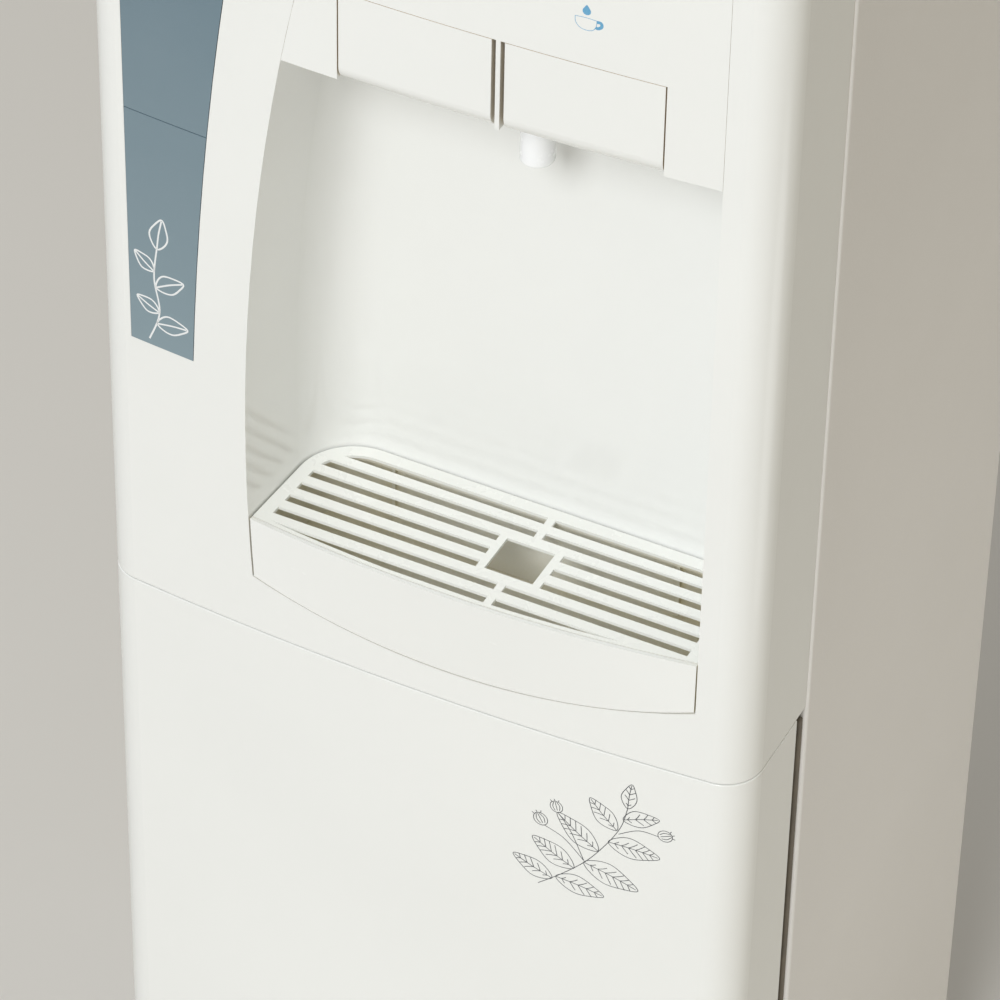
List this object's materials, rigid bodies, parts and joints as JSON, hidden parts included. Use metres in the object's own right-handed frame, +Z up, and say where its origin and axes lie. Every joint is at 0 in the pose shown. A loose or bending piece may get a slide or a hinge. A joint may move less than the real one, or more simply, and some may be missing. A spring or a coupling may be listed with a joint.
{
  "type": "water dispenser",
  "caption": "Floor-standing top-loading water dispenser with hot and cold push paddles over a drip tray, a bottle seat on top and a cooled cabinet below.",
  "frame": {"origin": "on the floor under the middle of the overall box", "axes": "+X to the object's right as seen from its front, +Y to its back, +Z up; the door and the niche face -Y"},
  "size_m": [0.342, 0.35, 1],
  "materials": {
    "white_shell": "smooth white, lightly glossy",
    "tray_plastic": "smooth white",
    "grille_plastic": "smooth off-white",
    "blue_band": "glossy grey-blue",
    "red_plastic": "glossy red",
    "green_plastic": "glossy green",
    "lamp_lens": "clear amber",
    "side_steel": "fine textured light grey coat",
    "galvanised_steel": "zinc coated",
    "bright_steel": "plated",
    "black_steel": "satin black",
    "black_plastic": "matt black",
    "dark_rubber": "matt",
    "gasket_rubber": "soft dark grey-brown",
    "bush_plastic": "self-lubricating nylon",
    "foam": "rigid cream foam",
    "liner_plastic": "smooth white sheet",
    "coated_wire": "white coated wire",
    "valve_plastic": "moulded",
    "nozzle_plastic": "milky translucent",
    "silicone": "milky food-grade tube",
    "stainless": "plain stainless",
    "copper": "bare copper tube",
    "collar_plastic": "smooth white"
  },
  "bodies": {
    "cabinet": {"front_shell": "white_shell", "top_cover": "white_shell", "kick_panel": "white_shell", "tap_fascia": "white_shell", "niche_liner": "white_shell", "indicator_lamps": "lamp_lens", "band_upper": "blue_band", "band_lower": "blue_band", "side_panel_left": "side_steel", "side_panel_right": "side_steel", "rear_panel": "galvanised_steel", "rear_screws": "bright_steel", "condenser": "black_steel", "condenser_brackets": "black_plastic", "compressor": "black_steel", "compressor_grommets": "dark_rubber", "compressor_studs": "bright_steel", "base_pan": "galvanised_steel", "levelling_feet": "black_plastic", "deck_plate": "galvanised_steel", "hinge_plates": "bright_steel", "hinge_pins": "bright_steel", "cabinet_foam": "foam", "cold_tank_foam": "foam", "hot_tank_jacket": "foam", "cabinet_liner": "liner_plastic", "paddle_pin": "bright_steel", "valve_bodies": "valve_plastic", "valve_manifold": "valve_plastic", "spout_nozzle": "nozzle_plastic", "cold_tube": "silicone", "hot_tube": "silicone", "cold_tank": "stainless", "hot_tank": "stainless", "heating_element": "stainless", "evaporator_coil": "copper", "drain_spout": "valve_plastic", "switch_bezel": "black_plastic", "control_box": "black_plastic", "cord_gland": "black_plastic"},
    "door": {"door_outer": "white_shell", "door_foam": "foam", "door_liner": "liner_plastic", "door_gasket": "gasket_rubber", "door_bushes": "bush_plastic"},
    "drip_tray": {"drip_tray": "tray_plastic"},
    "drip_grille": {"drip_grille": "grille_plastic"},
    "hot_paddle": {"hot_paddle": "white_shell"},
    "cold_paddle": {"cold_paddle": "white_shell"},
    "hot_plunger": {"hot_plunger": "valve_plastic"},
    "cold_plunger": {"cold_plunger": "valve_plastic"},
    "lock_slider": {"lock_slider": "red_plastic"},
    "bottle_collar": {"bottle_collar": "collar_plastic", "probe_spike": "collar_plastic", "collar_seal": "dark_rubber"},
    "hot_rocker": {"hot_rocker": "red_plastic"},
    "cold_rocker": {"cold_rocker": "green_plastic"},
    "drain_cap": {"drain_cap": "black_plastic"},
    "cabinet_shelf": {"cabinet_shelf": "coated_wire"}
  },
  "joints": [
    {"name": "door_swing", "type": "hinge", "parent": "cabinet", "child": "door", "pos_m": [0.157, -0.1308, 0.278], "axis": [0, 0, 1], "range_deg": [0, 110]},
    {"name": "tray_slide", "type": "slide", "parent": "cabinet", "child": "drip_tray", "axis": [0, -1, 0], "range_m": [0, 0.09]},
    {"name": "grille_lift", "type": "slide", "parent": "drip_tray", "child": "drip_grille", "axis": [0, 0, 1], "range_m": [0, 0.025]},
    {"name": "hot_paddle_swing", "type": "hinge", "parent": "cabinet", "child": "hot_paddle", "pos_m": [-0.00035, -0.1618, 0.8787], "axis": [1, 0, 0], "range_deg": [0, 7], "stiffness_Nm_per_rad": 1.2, "springref_deg": -2.29},
    {"name": "cold_paddle_swing", "type": "hinge", "parent": "cabinet", "child": "cold_paddle", "pos_m": [0.07935, -0.1618, 0.8787], "axis": [1, 0, 0], "range_deg": [0, 7], "stiffness_Nm_per_rad": 1.2, "springref_deg": -2.29},
    {"name": "hot_valve_slide", "type": "slide", "parent": "cabinet", "child": "hot_plunger", "axis": [0, 1, 0], "range_m": [0, 0.0045]},
    {"name": "cold_valve_slide", "type": "slide", "parent": "cabinet", "child": "cold_plunger", "axis": [0, 1, 0], "range_m": [0, 0.0045]},
    {"name": "child_lock_slide", "type": "slide", "parent": "cabinet", "child": "lock_slider", "axis": [1, 0, 0], "range_m": [0, 0.008]},
    {"name": "collar_lift", "type": "slide", "parent": "cabinet", "child": "bottle_collar", "axis": [0, 0, 1], "range_m": [0, 0.06]},
    {"name": "hot_switch_rock", "type": "hinge", "parent": "cabinet", "child": "hot_rocker", "pos_m": [0.099, 0.1392, 0.92], "axis": [-1, 0, 0], "range_deg": [0, 16]},
    {"name": "cold_switch_rock", "type": "hinge", "parent": "cabinet", "child": "cold_rocker", "pos_m": [0.121, 0.1392, 0.92], "axis": [-1, 0, 0], "range_deg": [0, 16]},
    {"name": "drain_cap_turn", "type": "hinge", "parent": "cabinet", "child": "drain_cap", "pos_m": [-0.128, 0.15, 0.5322], "axis": [0, 1, 0], "range_deg": [0, 360]},
    {"name": "shelf_lift", "type": "slide", "parent": "cabinet", "child": "cabinet_shelf", "axis": [0, 0, 1], "range_m": [0, 0.03]}
  ],
  "couplings": [
    {"joint": "hot_valve_slide", "follows": "hot_paddle_swing", "m_per_rad": 0.032},
    {"joint": "cold_valve_slide", "follows": "cold_paddle_swing", "m_per_rad": 0.032}
  ]
}
